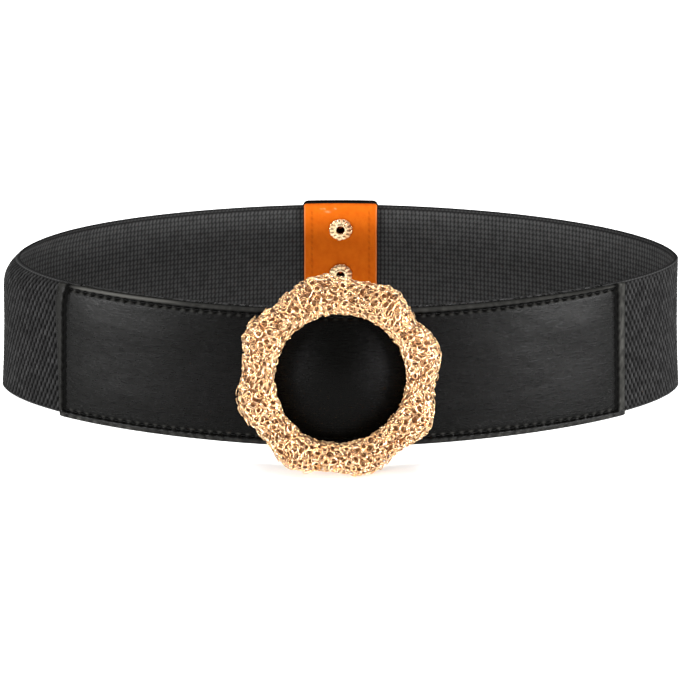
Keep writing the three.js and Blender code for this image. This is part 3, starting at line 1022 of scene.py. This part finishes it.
def eyelets(name, material, seed, count, radius, rise, strands):
    """Small round eyes of wire laid evenly all over the ring, each tipped its own way"""
    rng = np.random.default_rng(seed)

    def varied(low, high):
        return rng.uniform(low, high, count)[:, None]

    number = np.arange(count)[:, None]
    centre_turn = 2 * np.pi * (number * GOLDEN_SHARE % 1) + varied(-0.8, 0.8) / RING_TUBE
    centre_angle = 2 * np.pi * number / count + varied(-0.8, 0.8) / RING_MIDDLE
    from_axis = RING_MIDDLE + RING_TUBE * np.cos(centre_turn)
    eye, squeeze, slant = radius * varied(0.72, 1.28), varied(0.82, 1.18), varied(0, np.pi)
    lift, tip, facing = varied(-0.4, 0.55), varied(0.1, 0.5), varied(0, 2 * np.pi)
    phase = around(wire.samples)[None, :]
    lines = []
    for strand in range(strands):
        reach = eye + wire.strand_gap * strand
        across, along = reach * squeeze * np.cos(phase), reach / squeeze * np.sin(phase)
        shift_a = across * np.cos(slant) - along * np.sin(slant) + strand * varied(-0.3, 0.3)
        shift_b = across * np.sin(slant) + along * np.cos(slant) + strand * varied(-0.3, 0.3)
        height = rise + lift + tip * reach * np.sin(phase + facing) - 0.1 * strand
        lines.append((centre_angle + shift_a / from_axis, centre_turn + shift_b / RING_TUBE, height))
    return wire_piece(name, lines, material)


def ring_core(material):
    """The lumpy body under the wire"""
    angle, turn = around(core.stations)[:, None], around(core.sides)[None, :]
    rise = core.rise + core.lump * soft_noise(41, angle * 14, turn * 4 + 7)
    points = standing(from_ring(ring_point(*np.broadcast_arrays(angle, turn), rise)))
    index = closed(closed(numbered((core.stations, core.sides))).T).T
    faces = outward(points, [grid_faces(index)])
    return piece("ring_core", points, faces, material, ["buckle_ring"])


def rounded_box(low, high):
    """Points and faces of a box with its edges rounded by a bevel"""
    made = bmesh.new()
    bmesh.ops.create_cube(made, size=1)
    for vertex in made.verts:
        vertex.co = [lerp(low[axis], high[axis], vertex.co[axis] + 0.5) for axis in range(3)]
    round_off = {"offset": bar.edge_round, "segments": 3, "profile": 0.5, "affect": "EDGES"}
    bmesh.ops.bevel(made, geom=made.edges[:], **round_off)
    bmesh.ops.triangulate(made, faces=made.faces[:])
    corners = np.array([vertex.co[:] for face in made.faces for vertex in face.verts])
    made.free()
    # The bevel's order differs from run to run, so points, corners and faces are put in order
    points, faces = np.unique(corners, axis=0, return_inverse=True)
    faces = faces.reshape(-1, 3)
    turned = (faces.argmin(axis=1)[:, None] + np.arange(3)) % 3
    faces = np.take_along_axis(faces, turned, axis=1)
    return points, [faces[np.lexsort(faces.T)]]


def ring_bar(material):
    """The bar behind the leather and its two feet"""

    def upright(z, out):
        return (z - buckle.height - out * math.sin(FRONT_LEAN)) / math.cos(FRONT_LEAN)

    back = PANEL_BACK - CLEARANCE - bar.thickness - RING_STANDOFF
    low_foot = upright(panel.bottom - CLEARANCE, PANEL_FRONT) - bar.foot_height
    high_foot = upright(panel.top + CLEARANCE, PANEL_BACK)
    top = high_foot + bar.foot_height
    depth = -back - buckle.half_depth + bar.foot_sink
    half = bar.width / 2
    bodies = [rounded_box((-half, low_foot, back), (half, top, back + bar.thickness))]
    for bottom in (low_foot, high_foot):
        corner = (half, bottom + bar.foot_height, back + depth)
        bodies.append(rounded_box((-half, bottom, back), corner))
    points, faces = joined(bodies)
    return piece("ring_bar", standing(from_ring(points)), faces, material)


def buckle_ring(gold, brown):
    ring_core(brown)
    ring_bar(gold)
    curled_wire("ring_wire_under", gold, seed=7, winds=60, curls=14, radius=1.6, rise=-1.0)
    eyelets("ring_wire_middle", gold, seed=8, count=1000, radius=1.4, rise=-0.45, strands=1)
    eyelets("ring_wire_top", gold, seed=9, count=800, radius=1.3, rise=0.1, strands=2)


# Rear tab


def tab_sheet(side_inset, top_inset, low, high, corner, step):
    """Places of a sheet with rounded corners, their distance from its edge, and its faces"""
    half = tab.width / 2 - side_inset
    bottom, top = tab.bottom + top_inset, tab.top - top_inset
    levels = clustered(top - bottom, 2.4, 0.2, step)
    from_end = np.minimum(levels, top - bottom - levels)
    row_half = (half - edge_round(from_end, corner))[:, None]
    shares = clustered(2 * half, 2.0, 0.2, step) / half - 1
    across = row_half * shares[None, :]
    z = np.broadcast_to((bottom + levels)[:, None], across.shape)
    edge = np.minimum(row_half - np.abs(across), from_end[:, None])
    rounding = edge_round(edge, min(0.4, (high - low) / 2.2))
    return across, z, edge, low + rounding, high - rounding


def snap_heights():
    lean = math.cos(REAR_LEAN)
    return tab.top - snap.upper_drop * lean, tab.top - (snap.upper_drop + snap.spacing) * lean


def cell_middles(values):
    """The middle of each cell of a table of places, in one row"""
    return (values[1:, 1:] + values[:-1, 1:] + values[1:, :-1] + values[:-1, :-1]).ravel() / 4


def two_faced(across, z, low, high):
    """Points and faces of a sheet between two faces, open where the snaps pass through"""
    distance = REAR_CENTRE + across
    points = np.concatenate([belt_point(distance, z, out).reshape(-1, 3) for out in (high, low)])
    upper = numbered(across.shape)
    lower = upper + across.size
    rim = np.concatenate([upper[0], upper[1:, -1], upper[-1, -2::-1], upper[-2:0:-1, 0]])
    wall = closed(np.stack([rim, rim + across.size])).T
    from_snaps = [np.hypot(cell_middles(across), cell_middles(z) - height) for height in snap_heights()]
    whole = np.min(from_snaps, axis=0) > snap.post_radius + 0.6
    faces = [grid_faces(upper)[whole], grid_faces(lower)[:, ::-1][whole], grid_faces(wall)]
    return standing(points), faces


def tab_piece(name, node_name, material, sheet, upper_mark, lower_mark):
    """A sheet of the tab, with a mark on each face that its material reads"""
    across, z, low_face, high_face = sheet
    points, faces = two_faced(across, z, low_face, high_face)
    marks = np.concatenate([upper_mark.ravel(), lower_mark.ravel()])
    layer = np.stack([np.tile(across.ravel() + 50, 2), np.tile(z.ravel(), 2), marks], axis=-1)
    return piece(name, points, outward(points, faces), material, [node_name], {"hide": layer})


def tab_leather(name, node_name, low, high, material, stitched):
    across, z, edge, low_face, high_face = tab_sheet(0, 0, low, high, 2.6, 1.5)
    line = groove_at(edge - stitch.tab_inset, 0.5)
    if stitched:
        high_face = high_face - 0.3 * line + 0.05 * soft_noise(51, across / 5, z / 5)
    sheet = across, z, low_face, high_face
    # The stitch line is painted darker: painted shade in its groove
    lit = 1 - 0.7 * line
    return tab_piece(name, node_name, material, sheet, lit, np.full(across.size, 0.7))


def tab_stitches(material):
    """Stitches round the outside of the tab"""
    bodies = []
    out = CLEARANCE + tab.leather - stitch.tab_lift
    right, bottom = tab.width / 2 - stitch.tab_inset, tab.bottom + stitch.tab_inset
    left, top = -right, tab.top - stitch.tab_inset
    corners = [(left, bottom), (right, bottom), (right, top), (left, top)]
    for number, (start_x, start_z) in enumerate(corners):
        end_x, end_z = corners[(number + 1) % 4]
        count = round(math.hypot(end_x - start_x, end_z - start_z) / stitch.tab_pitch)
        for index in range(count):
            places = []
            for share in ((index + 0.12) / count, (index + 0.88) / count):
                distance = REAR_CENTRE + lerp(start_x, end_x, share)
                places.append(belt_point(distance, lerp(start_z, end_z, share), out))
            bodies.append(capsule(*places, np.array([0.0, 1.0, 0.0]), stitch.tab_radius))
    points, faces = joined(bodies)
    return piece("tab_stitches", standing(points), faces, material)


# Pale scuffs near the lining's top: place across and up the tab, length and slope
SCUFFS = [(9.2, 58.8, 1.3, 0.0), (7.9, 59.0, 0.9, 0.1), (6.0, 57.4, 3.6, -0.22), (2.6, 59.0, 1.0, 0.1)]


def tab_lining(low, high, material):
    """The suede face with shallow stitch lines, pale cut edges, a few scuffs near its top and painted
    shade along its top edge
    """
    across, z, _, low_face, high_face = tab_sheet(0.1, 0.15, low, high, 1.2, 0.85)
    from_side, from_top = tab.width / 2 - np.abs(across), tab.top - z
    dots = 0.6 + 0.4 * np.cos(2.8 * np.pi * z / stitch.pitch)
    line = groove_at(from_side - 3.9, 0.45) * dots * smoothstep(from_top, 2.5, 4)
    low_face = low_face + 0.16 * line + 0.06 * soft_noise(61, across / 2.2, z / 2.2)
    scuffs = np.zeros_like(across)
    for centre, level, length, slope in SCUFFS:
        run, rise = across - centre, z - level
        scuffs += groove_at(run, length / 2) * groove_at(rise - slope * run, 0.3)
    cut_edge = 0.3 * groove_at(from_side - 0.4, 0.22)
    # Darker along the stitch lines, and along the top edge as painted shade
    marks = np.clip(0.5 * scuffs + cut_edge, 0, 0.6) - 0.4 * line - 0.5 * groove_at(from_top, 1.1)
    sheet = across, z, low_face, high_face
    plain = np.zeros(across.size)
    return tab_piece("tab_lining_suede", "tab_inner_lining", material, sheet, plain, marks)


def seated_on_tab(points, z):
    """Turns points whose Y is the tab's outward normal, and sets them at a height on it"""
    turn = np.array(Matrix.Rotation(REAR_LEAN, 3, "X"))
    return points @ turn.T + belt_point(REAR_CENTRE, z, 0.0)


# The snap's crimped star: how far past the hole's edge, height over its underside, share of the
# petals' waviness, and share of grime and painted shade
CRIMP = [
    (0.04, 0.1, 0, 0.85),
    (0.25, -0.28, 0, 0.35),
    (0.55, -0.38, 0, 0),
    (0.85, -0.3, 0.05, 0),
    (1.15, -0.02, 0.15, 0),
    (1.4, 0.02, 0.3, 0),
    (1.7, -0.1, 0.5, 0),
    (2.0, -0.12, 0.75, 0),
    (2.3, -0.08, 1, 0),
    (2.6, -0.04, 1, 0),
    (2.9, 0.04, 1, 0),
]

# The cap's rolled edge: how far inside its rim, and height over its underside
CAP_EDGE = [(0.6, 0), (0.1, 0.2), (0, 0.55), (0.2, 0.9), (0.8, 1.05), (1.2, 0.95)]


def snap_profile(hole):
    """Section of a snap from the hole's floor to the cap's crown, with CRIMP's columns"""
    lining_low = SLOT_BACK - tab.leather - CLEARANCE - tab.lining
    flange_high = lining_low - CLEARANCE + 0.25
    flange_low = flange_high - snap.flange_thickness
    cap_low = CLEARANCE + tab.leather + 0.05
    post, flange, cap = snap.post_radius, snap.flange_radius, snap.cap_radius

    def crown(share):
        return (share * (cap - 1.4), cap_low + lerp(snap.cap_height, 1, share**2), 0, 0)

    return [
        (0, flange_low + snap.hole_depth, 0, 1),
        (hole * 0.95, flange_low + snap.hole_depth, 0, 1),
        (hole, flange_low + 0.7, 0, 1),
        *[(hole + past, flange_low + rise, *rest) for past, rise, *rest in CRIMP],
        (flange - 0.3, flange_low + 0.18, 0.8, 0),
        (flange - 0.05, flange_low + 0.42, 0.7, 0),
        (flange - 0.1, flange_high - 0.15, 0.5, 0),
        (flange - 0.5, flange_high, 0, 0),
        (post, flange_high, 0, 0),
        (post, cap_low, 0, 0),
        *[(cap - inside, cap_low + rise, 0, 0) for inside, rise in CAP_EDGE],
        *[crown(share) for share in (0.96, 0.85, 0.7, 0.5, 0.3, 0.12, 0)],
    ]


def snap_piece(name, z, seed, material):
    """A snap through the tab: a crimped star of petals round a hole inside, a domed cap outside"""
    petals, sides = 13, 104
    rng = np.random.default_rng(seed)
    hole = 0.94 * snap.hole_radius
    profile = snap_profile(hole)
    turns = around(sides)
    heights = rng.uniform(0.6, 1.25, petals)
    spread = rng.uniform(-0.3, 0.25, petals)
    dirty = 0.5 + 0.5 * np.cos(turns - rng.uniform(0.3, 0.9))
    place = turns / (2 * np.pi) * petals
    petal = np.floor(place).astype(int) % petals
    bulge = np.abs(np.sin(np.pi * place)) ** 0.6
    rows, tarnish_and_shade = [], []
    for radius, height, waviness, grime_and_shade in profile[1:-1]:
        wave = waviness * (bulge - 0.55)
        reach = radius + waviness * (0.35 * (bulge - 0.6) + spread[petal] * bulge)
        dent = 0.3 * groove_at(radius - hole - 2.0, 0.35) * groove_at(bulge, 0.75) * (waviness > 0)
        raised = height - 0.42 * wave * heights[petal] + dent
        rows.append(np.stack([reach * np.cos(turns), raised, reach * np.sin(turns)], axis=-1))
        # Darker between the petals, in the hole and at the crimp's ring: grime and painted shade
        settled_and_shade = waviness * (0.6 * (1 - bulge) + 0.45 * dirty)
        settled_and_shade += 0.35 * groove_at(radius - hole - 1.25, 0.2)
        tarnish_and_shade.append(np.clip(grime_and_shade + settled_and_shade * (0.3 + 0.7 * dirty), 0, 1))
    first, last = len(rows) * sides, len(rows) * sides + 1
    ends = np.array([[0, profile[0][1], 0], [0, profile[-1][1], 0]])
    points = np.concatenate([np.concatenate(rows), ends])
    index = closed(numbered((len(rows), sides)))
    fan_first = np.stack([index[0, :-1], index[0, 1:], np.full(sides, first)], axis=1)
    fan_last = np.stack([index[-1, 1:], index[-1, :-1], np.full(sides, last)], axis=1)
    points = standing(seated_on_tab(points, z))
    faces = outward(points, [grid_faces(index), fan_first[:, ::-1], fan_last[:, ::-1]])
    tarnish_and_shade = np.concatenate([*tarnish_and_shade, [profile[0][3], profile[-1][3]]])
    layers = {"tarnish_and_shade": np.repeat(tarnish_and_shade, 3)}
    return piece(f"{name}_metal", points, faces, material, [name], layers)


def rear_tab(leather, suede, thread, metal):
    outer_low, outer_high = CLEARANCE, CLEARANCE + tab.leather
    inner_low, inner_high = SLOT_BACK - tab.leather, SLOT_BACK
    lining_high = inner_low - CLEARANCE
    tab_leather("tab_outer", "tab_outer_leather", outer_low, outer_high, leather, stitched=True)
    tab_leather("tab_inner", "tab_inner_leather", inner_low, inner_high, leather, stitched=False)
    tab_lining(lining_high - tab.lining, lining_high, suede)
    tab_stitches(thread)
    upper, lower = snap_heights()
    snap_piece("snap_upper", upper, 5, metal)
    snap_piece("snap_lower", lower, 6, metal)


# Stage


def make_floor(material):
    mesh = bpy.data.meshes.new("floor")
    reach = 6.0
    corners = [(-reach, -reach, 0), (reach, -reach, 0), (reach, reach, 0), (-reach, reach, 0)]
    mesh.from_pydata(corners, [], [(0, 1, 2, 3)])
    mesh.materials.append(material)
    floor = bpy.data.objects.new("floor", mesh)
    bpy.context.scene.collection.objects.link(floor)


def make_camera():
    """The photo's view: its eye is given in the belt's own frame"""
    photo_size = 680
    focal_pixels = 4018
    distance = 1800
    elevation = math.radians(18)
    target = Vector((0, 0, elastic.width / 2))
    target_pixel = (340.5, 320.2)
    back = Vector((0, -math.cos(elevation), math.sin(elevation)))
    upwards = Vector((0, math.sin(elevation), math.cos(elevation)))
    pixel = distance / focal_pixels
    aim = target - Vector((1, 0, 0)) * (target_pixel[0] - photo_size / 2) * pixel
    aim += upwards * (target_pixel[1] - photo_size / 2) * pixel
    data = bpy.data.cameras.new("camera")
    data.sensor_width = 36
    data.lens = data.sensor_width * focal_pixels / photo_size
    camera = bpy.data.objects.new("camera", data)
    bpy.context.scene.collection.objects.link(camera)
    eye = STANDING @ (target + back * distance)
    look = STANDING @ aim - eye
    camera.location = eye
    camera.rotation_mode = "QUATERNION"
    camera.rotation_quaternion = look.to_track_quat("-Z", "Y")
    data.clip_start, data.clip_end = 0.05, 50
    bpy.context.scene.camera = camera


def soft_light(name, azimuth, elevation, distance, size, power):
    """A softbox that faces the belt; azimuth 0 is behind it, 180 in front, 90 on the left"""
    middle = Vector((0, 0, 0.04))
    data = bpy.data.lights.new(name, "AREA")
    data.shape = "RECTANGLE"
    data.size, data.size_y = size
    data.energy = power
    light = bpy.data.objects.new(name, data)
    bpy.context.scene.collection.objects.link(light)
    turn, climb = math.radians(azimuth), math.radians(elevation)
    way = Vector((-math.sin(turn) * math.cos(climb), math.cos(turn) * math.cos(climb), math.sin(climb)))
    light.location = distance * way + middle
    light.rotation_mode = "QUATERNION"
    light.rotation_quaternion = way.to_track_quat("Z", "Y")


def make_lights():
    world = bpy.data.worlds.new("studio")
    world.use_nodes = True
    background = world.node_tree.nodes["Background"]
    background.inputs["Color"].default_value = (1, 1, 1, 1)
    background.inputs["Strength"].default_value = 0.45
    bpy.context.scene.world = world
    bpy.context.scene.view_settings.view_transform = "Standard"
    soft_light("left_softbox", azimuth=123, elevation=4, distance=2.7, size=(1.2, 0.4), power=128)
    soft_light("right_softbox", azimuth=-123, elevation=2.5, distance=2.7, size=(1.6, 0.4), power=205)
    soft_light("overhead", azimuth=0, elevation=84, distance=3.0, size=(2.2, 2.2), power=122)


make_camera()
woven = elastic_material()
panel_leather = leather_material("panel_leather", tint.panel, roughness=0.28)
tab_black = leather_material("tab_leather", tint.tab, roughness=0.5)
orange = suede_material()
gold_wire = gold_material(
    "gold_wire",
    bright=(0.93, 0.69, 0.44),
    warm=(0.85, 0.52, 0.23),
    deep=(0.27, 0.088, 0.018),
    roughness=0.2,
)
snap_metal = gold_material(
    "snap_metal",
    bright=(0.98, 0.78, 0.5),
    warm=(0.8, 0.52, 0.26),
    deep=(0.3, 0.05, 0.016),
    roughness=0.28,
)
brown_core = core_material()
black_thread = thread_material()

elastic_half(1, "elastic_right", woven)
elastic_half(-1, "elastic_left", woven)
front_panel(panel_leather, black_thread)
buckle_ring(gold_wire, brown_core)
rear_tab(tab_black, orange, black_thread, snap_metal)
make_floor(floor_material())
make_lights()
